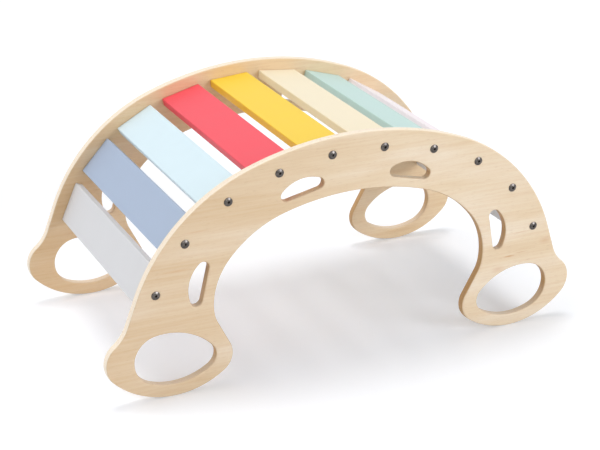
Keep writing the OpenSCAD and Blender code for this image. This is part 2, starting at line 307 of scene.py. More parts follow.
# One closed mesh out of surfaces. Each triangle is turned to face as its normals do, points that lie
# together are welded, and each corner keeps the normal of its own surface, so creases stay sharp. A
# surface marked as bored has the second material, and one that carries painted shade keeps how much of it
# there is on each corner.
def makePiece(name, surfaces, materials, slot, *nodes):
    points = np.concatenate([s["points"] for s in surfaces])
    normals = np.concatenate([s["normals"] for s in surfaces])
    starts = np.cumsum([0] + [len(s["points"]) for s in surfaces[:-1]])
    triangles = np.concatenate([s["triangles"] + start for s, start in zip(surfaces, starts)])
    a, b, c = (points[triangles[:, k]] for k in range(3))
    bored = np.concatenate([np.full(len(s["triangles"]), s.get("bored", False)) for s in surfaces])
    backwards = (np.cross(b - a, c - a) * normals[triangles].sum(1)).sum(1) < 0
    triangles[backwards] = triangles[backwards, ::-1]
    keys = np.round(points / fineness["weld"]).astype(np.int64)
    _, first, welded = np.unique(keys, axis=0, return_index=True, return_inverse=True)
    faces = welded.reshape(-1)[triangles]
    whole = (faces[:, 0] != faces[:, 1]) & (faces[:, 1] != faces[:, 2]) & (faces[:, 2] != faces[:, 0])
    faces, triangles, bored = faces[whole], triangles[whole], bored[whole]

    mesh = bpy.data.meshes.new(name)
    mesh.vertices.add(len(first))
    mesh.vertices.foreach_set("co", points[first].astype(np.float32).ravel())
    mesh.loops.add(faces.size)
    mesh.loops.foreach_set("vertex_index", faces.astype(np.int32).ravel())
    mesh.polygons.add(len(faces))
    mesh.polygons.foreach_set("loop_start", np.arange(0, faces.size, 3, dtype=np.int32))
    mesh.polygons.foreach_set("material_index", bored.astype(np.int32))
    mesh.update(calc_edges=True)
    mesh.normals_split_custom_set(normals[triangles].reshape(-1, 3))
    # Corners keep how much painted shade their edge carries, for the material
    if any("toasted" in s for s in surfaces):
        toasted = np.concatenate([s.get("toasted", np.zeros(len(s["points"]))) for s in surfaces])
        mark = mesh.attributes.new("toasted", "FLOAT", "CORNER")
        mark.data.foreach_set("value", toasted[triangles].astype(np.float32).ravel())
    for material in materials:
        mesh.materials.append(material)
    piece = bpy.data.objects.new(name, mesh)
    bpy.context.scene.collection.objects.link(piece)
    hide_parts(*nodes)
    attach(piece, "root")


# Side panels, cut from plywood. Lengths in metres, angles in degrees, as in the construction.
lowest, highest = (np.array(corner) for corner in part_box("side_panel_rear"))
panel = {
    "length": highest[0] - lowest[0], "height": highest[2], "thickness": highest[1] - lowest[1],
    "outerFace": highest[1], "innerFace": lowest[1], "edgeRound": 0.003, "edgeSegments": 5,
    # The last two numbers on the next line set painted shade on the edges: how strong it is where an edge
    # faces the arch's middle, and how much less it is where a hole wall faces up, towards the light
    "archMiddle": (0, 0.1), "archShadeGain": 2, "litFromAboveShare": 0.65,
    "crownDeg": 20.7, "shoulderR": 0.328, "legLean": 19.7, "legOut": 0.080,
    "crownWidth": 0.102, "legWidth": 0.1505, "innerCrownDeg": 16.7, "haunchR": 0.205, "haunchDeg": 50.5,
    "innerLegR": 0.1225, "throatDeg": 95, "throatR": 0.065,
    "soleR": 0.150, "toeR": 0.044, "toeDeg": 46.5, "heelR": 0.0385, "heelDeg": 36.5, "ankleR": 0.070,
}


# The point on a circle that lies at an angle from +X
def onCircle(centre, radius, degrees):
    a = math.radians(degrees)
    return np.array(centre) + radius * np.array([math.cos(a), math.sin(a)])


# Where an arc's centre stands when the arc continues from a circle without a kink
def nextCentre(centre, radius, degrees, nextRadius):
    return onCircle(centre, radius - nextRadius, degrees)


# The angle of a vector from +X
def direction(v):
    return math.degrees(math.atan2(v[1], v[0]))


# Centres and radii of the arch's curves. The outer crown's radius is the one whose shoulder curve meets
# the straight leg, and the inner crown's the one that brings the inner leg to its place.
def archCurves():
    p = panel
    toeReach = (p["soleR"] - p["toeR"]) * math.sin(math.radians(p["toeDeg"])) + p["toeR"]
    sole = np.array([p["length"] / 2 - toeReach, p["soleR"]])
    toe = nextCentre(sole, p["soleR"], p["toeDeg"] - 90, p["toeR"])
    heel = nextCentre(sole, p["soleR"], -90 - p["heelDeg"], p["heelR"])
    legNormal = onCircle((0, 0), 1, p["legLean"])
    legDown = np.array([legNormal[1], -legNormal[0]])
    legPoint = sole + (p["legOut"], 0)
    crownDirection = onCircle((0, 0), 1, 90 - p["crownDeg"])
    pastCrown = legPoint - (0, p["height"] - p["shoulderR"])
    crownExtra = (pastCrown @ legNormal - p["shoulderR"]) / (crownDirection @ legNormal - legNormal[1])
    crownR = p["shoulderR"] + crownExtra
    crown = np.array([0, p["height"] - crownR])
    shoulder = crown + crownExtra * crownDirection
    ankleLine = legPoint + p["ankleR"] * legNormal
    toLine = ankleLine - toe
    along = toLine @ legDown
    span = along ** 2 - toLine @ toLine + (p["ankleR"] + p["toeR"]) ** 2
    ankle = ankleLine + (-along - math.sqrt(span)) * legDown
    haunchReach = p["innerLegR"] + (p["haunchR"] - p["innerLegR"]) * math.sin(math.radians(p["haunchDeg"]))
    innerExtra = (legPoint[0] - p["legWidth"] - haunchReach) / math.sin(math.radians(p["innerCrownDeg"]))
    innerCrownR = p["haunchR"] + innerExtra
    innerCrown = np.array([0, p["height"] - p["crownWidth"] - innerCrownR])
    haunch = nextCentre(innerCrown, innerCrownR, 90 - p["innerCrownDeg"], p["haunchR"])
    innerLeg = nextCentre(haunch, p["haunchR"], 90 - p["haunchDeg"], p["innerLegR"])
    throat = nextCentre(innerLeg, p["innerLegR"], 90 - p["throatDeg"], p["throatR"])
    return {"sole": sole, "toe": toe, "heel": heel, "legDown": legDown, "crown": crown, "crownR": crownR,
            "shoulder": shoulder, "ankle": ankle, "innerCrown": innerCrown, "innerCrownR": innerCrownR,
            "haunch": haunch, "innerLeg": innerLeg, "throat": throat}


curves = archCurves()


# The panel's outline, anticlockwise, from the inner crown over the right foot to the left one
def panelOutline():
    p, c = panel, curves
    toThroat = c["throat"] - c["heel"]
    crossing = math.degrees(math.acos((p["throatR"] + p["heelR"]) / np.linalg.norm(toThroat)))
    heelTurn = direction(toThroat) + crossing
    half = [
        (onCircle(c["innerCrown"], c["innerCrownR"], 90 - p["innerCrownDeg"]), -p["haunchR"]),
        (onCircle(c["haunch"], p["haunchR"], 90 - p["haunchDeg"]), -p["innerLegR"]),
        (onCircle(c["innerLeg"], p["innerLegR"], 90 - p["throatDeg"]), -p["throatR"]),
        (onCircle(c["throat"], p["throatR"], 180 + heelTurn), 0),
        (onCircle(c["heel"], p["heelR"], heelTurn), p["heelR"]),
        (onCircle(c["sole"], p["soleR"], -90 - p["heelDeg"]), p["soleR"]),
        (onCircle(c["sole"], p["soleR"], p["toeDeg"] - 90), p["toeR"]),
        (onCircle(c["toe"], p["toeR"], direction(c["ankle"] - c["toe"])), -p["ankleR"]),
        (onCircle(c["ankle"], p["ankleR"], 180 + p["legLean"]), 0),
        (onCircle(c["shoulder"], p["shoulderR"], p["legLean"]), p["shoulderR"]),
        (onCircle(c["crown"], c["crownR"], 90 - p["crownDeg"]), c["crownR"]),
    ]
    radii = [radius for _, radius in half]
    mirrored = [(corner * (-1, 1), radius) for (corner, _), radius in
                zip(half[::-1], radii[-2::-1] + [-c["innerCrownR"]])]
    return half + mirrored


footHole = {
    "heelWall": 0.031, "toeWall": 0.050, "smallR": 0.026, "bigR": 0.045,
    "smallHeight": 0.064, "bigHeight": 0.0735, "sideR": 0.112,
}


# Egg shape: a small and a big end, joined by an arc along the top and one along the bottom
def footHoleOutline():
    h, p = footHole, panel
    small = np.array([curves["heel"][0] - p["heelR"] + h["heelWall"] + h["smallR"], h["smallHeight"]])
    big = np.array([curves["toe"][0] + p["toeR"] - h["toeWall"] - h["bigR"], h["bigHeight"]])
    apart = np.linalg.norm(big - small)
    axis = (big - small) / apart
    fromSmall, fromBig = h["sideR"] - h["smallR"], h["sideR"] - h["bigR"]
    along = (apart ** 2 + fromSmall ** 2 - fromBig ** 2) / (2 * apart)
    back = math.sqrt(fromSmall ** 2 - along ** 2) * np.array([-axis[1], axis[0]])
    top, low = small + along * axis - back, small + along * axis + back
    return [
        (onCircle(low, h["sideR"], direction(small - low)), h["sideR"]),
        (onCircle(low, h["sideR"], direction(big - low)), h["bigR"]),
        (onCircle(big, h["bigR"], direction(axis)), h["bigR"]),
        (onCircle(top, h["sideR"], direction(big - top)), h["sideR"]),
        (onCircle(top, h["sideR"], direction(small - top)), h["smallR"]),
        (onCircle(small, h["smallR"], 180 + direction(axis)), h["smallR"]),
    ]


handleSlot = {
    "length": 0.079, "height": 0.029, "cornerR": 0.010,
    "crownWall": 0.0175, "crownPlace": 0.099, "crownTilt": 12.9,
    "legWall": 0.022, "legHeight": 0.196, "legTilt": 78,
}


# D shape: a flat side, two round corners and a crest that runs into both. Placed by the middle of its
# flat side and turned clockwise by its tilt.
def handleSlotOutline(middle, tilt):
    h = handleSlot
    cornerX, rise = h["length"] / 2 - h["cornerR"], h["height"] - h["cornerR"]
    crestR = (cornerX ** 2 + rise ** 2 - h["cornerR"] ** 2) / (2 * (rise - h["cornerR"]))
    crest = np.array([0, h["height"] - crestR])
    crestTurn = direction(np.array([cornerX, h["cornerR"]]) - crest)
    outline = [
        ((-cornerX, 0), 0),
        ((cornerX, 0), h["cornerR"]),
        (onCircle(crest, crestR, crestTurn), crestR),
        (onCircle(crest, crestR, 180 - crestTurn), h["cornerR"]),
    ]
    across, up = onCircle((0, 0), 1, -tilt), onCircle((0, 0), 1, 90 - tilt)
    return [(middle + corner[0] * across + corner[1] * up, radius) for corner, radius in outline]


# The holes of the right half of a panel
def halfHoles():
    h, c, p = handleSlot, curves, panel
    crownEdge = c["innerCrown"][1] + math.sqrt(c["innerCrownR"] ** 2 - h["crownPlace"] ** 2)
    crownUp = h["crownWall"] / math.cos(math.radians(h["crownTilt"]))
    legEdge = c["innerLeg"][0] + math.sqrt(p["innerLegR"] ** 2 - (h["legHeight"] - c["innerLeg"][1]) ** 2)
    legAside = h["legWall"] / math.sin(math.radians(h["legTilt"]))
    return [
        footHoleOutline(),
        handleSlotOutline(np.array([h["crownPlace"], crownEdge + crownUp]), h["crownTilt"]),
        handleSlotOutline(np.array([legEdge + legAside, h["legHeight"]]), h["legTilt"]),
    ]


# The same outline on the left half: X turned round, and the order too
def mirroredOutline(outline):
    corners = [(-corner[0], corner[1]) for corner, _ in outline][::-1]
    radii = [radius for _, radius in outline]
    return list(zip(corners, radii[-2::-1] + radii[-1:]))


# Slats, cut from solid board, eased all round and painted
slat = {
    "count": 10, "width": 0.075, "thickness": 0.015, "pitch": 0.0975, "rowInset": 0.0295,
    "edgeRound": 0.002, "edgeSegments": 8, "endRound": 0.0016, "endSegments": 3,
    "paints": ["white_paint", "periwinkle_paint", "ice_blue_paint", "red_paint", "yellow_paint",
               "cream_paint", "mint_paint", "blush_paint", "periwinkle_paint", "white_paint"],
}


# Where slat number 1 to 10 sits: x, z and tilt. The bolts' row runs inside the outer edge, over the
# crown's arc, the shoulder's arc and the straight leg, and the slats follow it at one pitch.
def slatPlace(number):
    p, c = panel, curves
    along = (number - (slat["count"] + 1) / 2) * slat["pitch"]
    side, along = math.copysign(1, along), abs(along)
    crownR, shoulderR = c["crownR"] - slat["rowInset"], p["shoulderR"] - slat["rowInset"]
    onShoulder = along - crownR * math.radians(p["crownDeg"])
    onLeg = onShoulder - shoulderR * math.radians(90 - p["crownDeg"] - p["legLean"])
    if onShoulder < 0:
        tilt = math.degrees(along / crownR)
        place = onCircle(c["crown"], crownR, 90 - tilt)
    else:
        tilt = min(p["crownDeg"] + math.degrees(onShoulder / shoulderR), 90 - p["legLean"])
        place = onCircle(c["shoulder"], shoulderR, 90 - tilt) + max(onLeg, 0) * c["legDown"]
    return side * place[0], place[1], side * tilt


# The turn about Y that lays a slat's own X and Z as its place is tilted
def slatTurn(tilt):
    a = math.radians(tilt)
    return [[math.cos(a), 0, math.sin(a)], [0, 1, 0], [-math.sin(a), 0, math.cos(a)]]


places = [slatPlace(number) for number in range(1, slat["count"] + 1)]


# A board's edge from depth 0 to its thickness, with quarter circles for its corners
def roundedProfile(thickness, radius, segments):
    return [
        stretch((-radius, 0), (0, radius), radius, segments),
        stretch((0, radius), (0, thickness - radius)),
        stretch((0, thickness - radius), (-radius, thickness), radius, segments),
    ]


# How much painted shade an edge gets, from 0 to 1, darkest where the edge faces away from the light:
# in a hole 1 less a share of how far the wall faces up, towards the light, and along the outline a
# multiple of the cosine between its normal and the way to the arch's middle, in the shade of the slats
def paintedEdgeShade(surface, hole):
    inward = np.array(panel["archMiddle"]) - surface["points"][:, ::2]
    inward /= np.linalg.norm(inward, axis=1, keepdims=True)
    facing = (inward * surface["normals"][:, ::2]).sum(1)
    up = np.clip(surface["normals"][:, 2], 0, 1)
    inHole, outside = 1 - panel["litFromAboveShare"] * up, np.clip(panel["archShadeGain"] * facing, 0, 1)
    return {**surface, "toasted": inHole if hole else outside}


# Panel with its outer face at depth 0: the rounded edge carried along the outline and round the holes,
# bored for the bolts, with blind holes for the dowels, and its two faces filled in between
def panelSurfaces():
    p = panel
    edges = [closedPath(panelOutline())]
    for outline in halfHoles():
        edges += [asHole(closedPath(outline)), asHole(closedPath(mirroredOutline(outline)))]
    profile = roundedProfile(p["thickness"], p["edgeRound"], p["edgeSegments"])
    # The edges carry painted shade: in the holes, and along the outline where they face the arch's middle
    surfaces = [paintedEdgeShade(s, k > 0) for k, path in enumerate(edges) for s in carry(path, profile)]
    rims = [edgeLoop(path, -p["edgeRound"]) for path in edges]

    boltHoles, dowelHoles = [], []
    for x, z, tilt in places:
        across = onCircle((0, 0), dowel["out"], -tilt)
        boltHoles.append(asHole(circlePath((x, z), bolt["holeR"])))
        dowelHoles += [asHole(circlePath((x, z) + side * across, dowel["boreR"])) for side in (-1, 1)]
    bottom = p["thickness"] - dowel["inPanel"]
    for path in boltHoles:
        surfaces += carry(path, [stretch((0, 0), (0, p["thickness"]))])
    for path in dowelHoles:
        surfaces += carry(path, [stretch((0, bottom), (0, p["thickness"]))])
        surfaces.append(flatFace([edgeLoop(path)], bottom, 1.0))
    boltLoops, dowelLoops = ([edgeLoop(path) for path in holes] for holes in (boltHoles, dowelHoles))
    surfaces.append(flatFace(rims + boltLoops, 0.0, -1.0))
    surfaces.append(flatFace(rims + boltLoops + dowelLoops, p["thickness"], 1.0))
    return surfaces


# Barrel nuts' bores, from the underside of a slat up to their ceilings
nutBore = {"radius": 0.0051, "fromFace": 0.027, "ceiling": 0.005, "segments": 48}
nutTurns = np.linspace(-math.pi / 2, 3 * math.pi / 2, nutBore["segments"] + 1)


# Wall of a nut bore, with the bolt's hole running through it along Y. The wall is rolled out flat,
# across by angle times radius and up by height. There the bolt's hole shows as two loops, on which
# (bore radius x sin of the angle)^2 + height^2 is the square of the bolt hole's radius.
def nutBoreWall(ring):
    r, ceiling, floor = nutBore["radius"], nutBore["ceiling"], -slat["thickness"] / 2
    low, high = (np.stack([nutTurns * r, np.full_like(nutTurns, z)], 1) for z in (floor, ceiling))
    sheet = np.concatenate([low, high[::-1]])
    openings = [np.stack([(side + np.arcsin(ring[:, 0] / r)) * r, ring[:, 1]], 1) for side in (0, math.pi)]
    flat = np.concatenate([sheet] + openings)
    a = flat[:, 0] / r
    outward = np.stack([np.sin(a), np.cos(a), np.zeros_like(a)], 1)
    return {"points": outward * r + np.array([0, 0, 1]) * flat[:, 1:], "normals": -outward,
            "triangles": fillTriangles([sheet] + openings)}


# Slat about its own middle: the rounded section carried along Y with eased ends, bored at both ends for
# the bolt and the dowels, and from below for the barrel nuts
def slatSurfaces():
    length = 2 * panel["innerFace"]
    halfW, halfT, r = slat["width"] / 2, slat["thickness"] / 2, slat["edgeRound"]
    flatW, flatT = halfW - r, halfT - r
    section = closedPath([
        ((-flatW, -halfT), 0), ((flatW, -halfT), r), ((halfW, -flatT), 0), ((halfW, flatT), r),
        ((flatW, halfT), 0), ((-flatW, halfT), r), ((-halfW, flatT), 0), ((-halfW, -flatT), r),
    ], slat["edgeSegments"])
    profile = roundedProfile(length, slat["endRound"], slat["endSegments"])
    outside = carry(section[:1], [profile[0], profile[2]]) + carry(section[1:], profile)
    bores = []
    boltHole = asHole(circlePath((0, 0), bolt["holeR"]))
    dowelHoles = [asHole(circlePath((side * dowel["out"], 0), dowel["boreR"])) for side in (-1, 1)]
    endLoops = [edgeLoop(section, -slat["endRound"])] + [edgeLoop(path) for path in [boltHole] + dowelHoles]
    for depth, facing in ((0.0, -1.0), (length, 1.0)):
        outside.append(flatFace(endLoops, depth, facing))
        for path in dowelHoles:
            bottom = depth - facing * dowel["boreInSlat"]
            bores += carry(path, [stretch((0, min(bottom, depth)), (0, max(bottom, depth)))])
            bores.append(flatFace([edgeLoop(path)], bottom, facing))

    # Bolt hole from the end to the nut bore, and on from its far side to the hole's end
    ring = edgeLoop(boltHole)
    closedRing = np.concatenate([ring, ring[:1]])
    saddle = np.sqrt(nutBore["radius"] ** 2 - closedRing[:, 0] ** 2)
    inward = -closedRing / bolt["holeR"]
    mouths = []
    for depth, facing in ((0.0, -1.0), (length, 1.0)):
        nutDepth = depth - facing * nutBore["fromFace"]
        holeEnd = depth - facing * bolt["holeInSlat"]
        for start, end in ((np.full_like(saddle, depth), nutDepth + facing * saddle),
                           (nutDepth - facing * saddle, np.full_like(saddle, holeEnd))):
            depths = np.stack([start, end], 1)
            flat = np.repeat(closedRing[:, None], 2, 1)
            lean = np.repeat(inward[:, None], 2, 1)
            bores.append(gridSurface(flat, depths, lean, np.zeros_like(depths)))
        bores.append(flatFace([ring], holeEnd, facing))
        bores += placed([nutBoreWall(ring)], np.eye(3), (0, nutDepth, 0))
        mouth = np.stack([np.sin(nutTurns), np.cos(nutTurns)], 1)[:-1] * nutBore["radius"]
        mouths.append(mouth + (0, nutDepth))

    # Underside and the bores' ceilings: flat faces laid down, so that their depth becomes the height
    layDown = [[1, 0, 0], [0, 0, 1], [0, 1, 0]]
    e = slat["endRound"]
    under = np.array([(-flatW, e), (flatW, e), (flatW, length - e), (-flatW, length - e)])
    outside += placed([flatFace([under] + mouths, -halfT, -1.0)], layDown)
    bores += placed([flatFace([mouth], nutBore["ceiling"], -1.0) for mouth in mouths], layDown)
    return placed(outside + [{**s, "bored": True} for s in bores], np.eye(3), (0, -length / 2, 0))


# The path that a turned piece's profile is carried along: it stays on the axis, and its normal goes
# all the way round
def axisPath(count):
    a = np.linspace(0, 2 * math.pi, count + 1)
    normals = np.stack([np.cos(a), np.sin(a)], 1)
    return [(np.zeros_like(normals), normals)]


# A round surface about the Y axis: its radius is given for each angle and depth, and its normal leans
# against the radius's two slopes
def roundSurface(angles, depths, r):
    cos, sin = np.cos(angles)[:, None], np.sin(angles)[:, None]
    aside, down = np.gradient(r, angles, axis=0) / r, np.gradient(r, depths, axis=1)
    normals = np.stack([cos + aside * sin, -down, sin - aside * cos], -1)
    normals /= np.linalg.norm(normals, axis=-1, keepdims=True)
    return {"points": np.stack([r * cos, np.broadcast_to(depths, r.shape), r * sin], -1).reshape(-1, 3),
            "normals": normals.reshape(-1, 3), "triangles": gridTriangles(*r.shape)}


# Bolts, with a domed head, a hex socket, a plain shank and a thread
bolt = {
    "shankR": 0.003, "length": 0.050, "tipChamfer": 0.0008, "holeR": 0.0035, "holeInSlat": 0.038,
    "headR": 0.0075, "headHeight": 0.0026, "rimHeight": 0.0009, "domeFrom": 0.0029,
    "socketWidth": 0.004, "socketDepth": 0.003, "sides": 36, "domeSegments": 8,
    "threadLength": 0.024, "threadPitch": 0.001, "threadDepth": 0.0006, "pointsPerPitch": 6,
}


# Thread: the radius dips by the thread's depth in a triangle wave of depth / pitch - angle / full turn,
# and the wave fades in and out over the first and last turn
def threadSurface(fromDepth, toDepth, count):
    b = bolt
    a = np.linspace(0, 2 * math.pi, count + 1)
    steps = round((toDepth - fromDepth) / b["threadPitch"] * b["pointsPerPitch"])
    y = np.linspace(fromDepth, toDepth, steps + 1)
    wave = np.abs((y[None] / b["threadPitch"] - a[:, None] / (2 * math.pi)) % 1 * 2 - 1)
    fade = np.clip(np.minimum(y - fromDepth, toDepth - y) / b["threadPitch"], 0, 1)
    return roundSurface(a, y, b["shankR"] - b["threadDepth"] * wave * fade)


# Furniture bolt about the Y axis, the underside of its head at depth 0 and the head towards +Y. The
# dome is an arc about a centre on the axis, from the head's rim to the flat round the socket.
def boltSurfaces():
    b, count = bolt, bolt["sides"]
    tip, tipR = -b["length"], b["shankR"] - b["tipChamfer"]
    threadEnd = tip + b["tipChamfer"] + b["threadLength"]
    domeRise = b["headHeight"] - b["rimHeight"]
    domeDrop = (b["headR"] ** 2 - b["domeFrom"] ** 2 - domeRise ** 2) / (2 * domeRise)
    domeR = math.hypot(b["headR"], domeDrop)
    profile = [
        stretch((0, tip), (tipR, tip)),
        stretch((tipR, tip), (b["shankR"], tip + b["tipChamfer"])),
        stretch((b["shankR"], threadEnd), (b["shankR"], 0)),
        stretch((b["shankR"], 0), (b["headR"], 0)),
        stretch((b["headR"], 0), (b["headR"], b["rimHeight"])),
        stretch((b["headR"], b["rimHeight"]), (b["domeFrom"], b["headHeight"]), domeR,
                b["domeSegments"]),
    ]
    surfaces = carry(axisPath(count), profile)
    surfaces.append(threadSurface(tip + b["tipChamfer"], threadEnd, count))
    hexagon = [(onCircle((0, 0), b["socketWidth"] / math.sqrt(3), 60 * k), 0) for k in range(6)]
    socket = asHole(closedPath(hexagon))
    socketEnd = b["headHeight"] - b["socketDepth"]
    surfaces += carry(socket, [stretch((0, socketEnd), (0, b["headHeight"]))])
    surfaces.append(flatFace([edgeLoop(socket)], socketEnd, 1.0))
    rim = edgeLoop(axisPath(count), b["domeFrom"])
    surfaces.append(flatFace([rim, edgeLoop(socket)], b["headHeight"], 1.0))
    return surfaces


# Dowels, two at each end of a slat
dowel = {
    "radius": 0.003, "length": 0.025, "inPanel": 0.009, "out": 0.022, "chamfer": 0.001, "boreR": 0.00305,
    "boreInSlat": 0.017, "flutes": 20, "fluteDepth": 0.00025, "pointsPerFlute": 6,
}


# Fluted dowel along Y from depth 0. Its radius is the rod's, dipping by the flutes' depth as
# (1 - cos(flutes x angle)) / 2, or the end chamfer's cone where that is smaller.
def dowelSurfaces():
    d = dowel
    a = np.linspace(0, 2 * math.pi, d["flutes"] * d["pointsPerFlute"] + 1)
    rod = d["radius"] - d["fluteDepth"] * (1 - np.cos(d["flutes"] * a)) / 2
    c, f, length = d["chamfer"], d["fluteDepth"], d["length"]
    depths = [0, c - f, c, length - c, length - c + f, length]
    surfaces = []
    for span in zip(depths[:-1], depths[1:]):
        span = np.array(span)
        cone = d["radius"] - c + np.minimum(span, length - span)
        surfaces.append(roundSurface(a, span, np.minimum(rod[:, None], cone[None])))
    end = np.stack([np.cos(a), np.sin(a)], 1)[:-1] * (d["radius"] - c)
    return surfaces + [flatFace([end], 0.0, -1.0), flatFace([end], length, 1.0)]


# Birch plywood: eleven plies, the grain of every second one crossed, sanded and clear lacquered. The
# faces show a broad pale figure, fine fibres and short pores along X, and the inner ones are painted more
# golden, as painted shade and warm bounce light between the panels. At the edges long grain and darker end
# grain take turns, with a thin glue line between the plies, and the hole walls and the inner arch edges are
# painted brown as painted shade. Lengths are in metres. A layer is its length along the grain, its width
# across it and its detail. The inner shade range is in plies, the edge range in how far the surface faces
# along Y.
plywood = {
    "plies": 11, "faceSanded": 0.3, "glueLine": 0.07, "sheetStep": 3.1,
    "layers": {"figure": (0.42, 0.07, 3), "fibre": (0.13, 0.005, 5), "pore": (0.014, 0.0008, 1)},
    "wave": 0.012, "distortion": 0.3, "fibreStrength": 0.3,
    "poreRange": {"From Min": 0.62, "From Max": 0.72, "To Max": 0.35},
    "figureTones": [(0.3, "#e5caa4"), (0.5, "#ecd5b4"), (0.7, "#f3e1c8")],
    "fibreTones": [(0.3, "#ebd2b0"), (0.62, "#ffffff")], "poreTone": "#c19a70",
    # The first tone on the next line is painted shade: a golden tint on the inner faces, for the shade and
    # warm bounce light between the panels
    "innerShadeTone": "#fff8ec", "innerShadeRange": {"From Min": 1.0, "From Max": 0.5},
    "darkEnd": "#f0eae3", "darkFrom": 0.1, "edgeRange": {"From Min": 0.85, "From Max": 0.5},
    # The last tone on the next line is painted shade on the hole walls and the inner arch edges
    "longGrain": "#fff6e6", "endGrain": "#fae5c8", "glue": "#dcbd92", "edgeShadeTone": "#c8a676",
    "roughness": (0.42, 0.56), "relief": 0.00015, "reliefStrength": 0.5,
    "lacquer": {"IOR": 1.5, "Coat Weight": 0.2, "Coat Roughness": 0.25},
    "streakTone": "#cc8f58", "streakDepth": 0.003,
    "streaks": [
        (0.316, 0.141, 0.014, 0.0020, 0.85),
        (0.341, 0.145, 0.018, 0.0016, 0.5),
        (0.337, 0.185, 0.022, 0.0014, 0.35),
        (0.391, 0.160, 0.016, 0.0090, 0.35),
        (0.295, 0.119, 0.018, 0.0080, 0.3),
        (-0.323, 0.230, 0.030, 0.0030, 0.3),
        (-0.289, 0.293, 0.034, 0.0030, 0.3),
    ],
}


